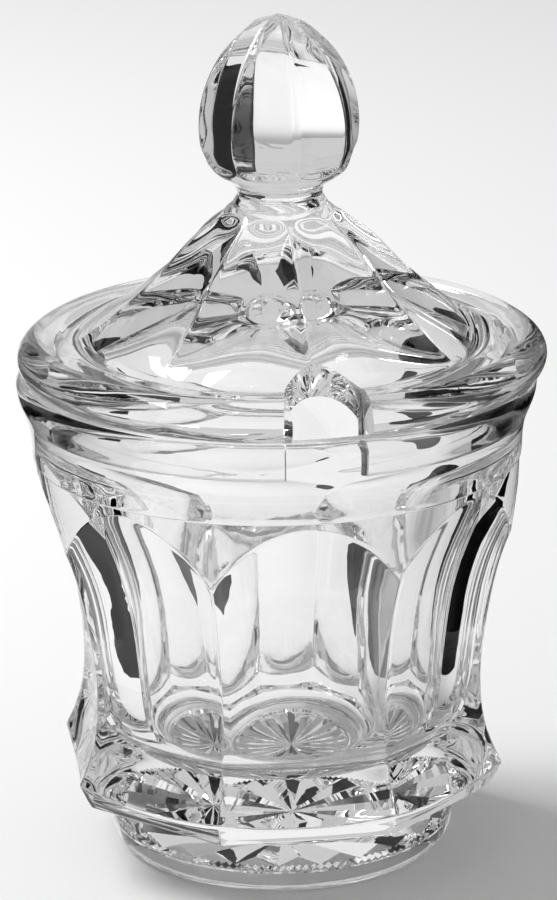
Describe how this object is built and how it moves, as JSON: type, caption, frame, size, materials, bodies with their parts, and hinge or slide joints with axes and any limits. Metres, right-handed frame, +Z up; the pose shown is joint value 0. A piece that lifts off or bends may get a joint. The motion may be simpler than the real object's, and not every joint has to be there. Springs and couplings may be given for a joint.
{
  "type": "mustard pot",
  "caption": "Clear pressed-glass mustard pot: panelled waisted body on a round foot, with a loose fluted lid, faceted acorn finial and spoon notch.",
  "frame": {"origin": "centre of the ring that the foot stands on, on the pot's own axis", "axes": "+Z up along the pot's axis; -Y towards the spoon notch, square to a body panel"},
  "size_m": [0.0803, 0.0799, 0.1301],
  "materials": {
    "pot_glass": "clear pressed glass, fire polished",
    "lid_glass": "clear pressed glass, fire polished"
  },
  "bodies": {
    "pot_body": {"pot": "pot_glass"},
    "lid_body": {"lid": "lid_glass"}
  },
  "joints": [
    {"name": "lid_lift", "type": "slide", "parent": "pot_body", "child": "lid_body", "axis": [0, 0, 1], "range_m": [0, 0.07]}
  ]
}
